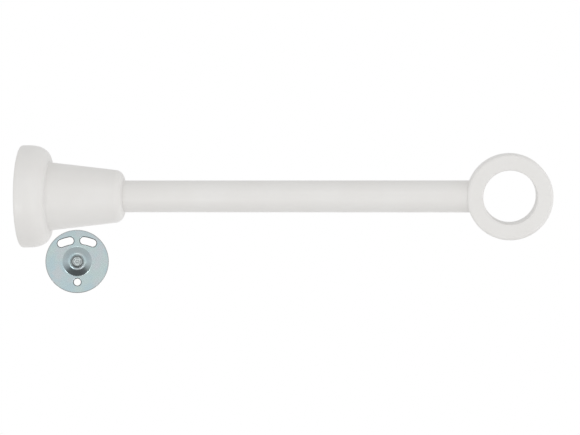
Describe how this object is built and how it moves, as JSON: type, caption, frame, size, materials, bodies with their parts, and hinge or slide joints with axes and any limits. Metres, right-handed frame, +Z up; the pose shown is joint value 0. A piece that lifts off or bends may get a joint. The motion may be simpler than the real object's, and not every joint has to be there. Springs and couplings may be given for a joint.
{
  "type": "curtain pole ring bracket",
  "caption": "White turned-wood ring bracket for a curtain pole: round base, tapered socket, long stem and closed ring, with a loose slotted steel wall plate.",
  "frame": {"origin": "where the stem's axis meets the wall, in the plane of the rosette's back", "axes": "+X out of the wall along the stem, +Z up, and the pole runs along Y through the ring"},
  "size_m": [0.3, 0.058, 0.0845],
  "materials": {
    "white_lacquer": "satin white lacquer on turned beech",
    "bare_beech": "bare, fluted dowel",
    "insert_brass": "plain",
    "zinc_plate": "bright zinc with a pale blue passivation",
    "zinc_stud": "bright zinc, cold rolled thread"
  },
  "bodies": {
    "bracket": {"base_rosette": "white_lacquer", "socket_cone": "white_lacquer", "stem": "white_lacquer", "threaded_insert": "insert_brass", "ring": "white_lacquer", "ring_dowel": "bare_beech"},
    "loose_plate": {"wall_plate": "zinc_plate", "plate_stud": "zinc_stud"}
  },
  "joints": [
    {"name": "wall_plate_lift", "type": "slide", "parent": "bracket", "child": "loose_plate", "axis": [0, -1, 0], "range_m": [0, 0.05]}
  ]
}
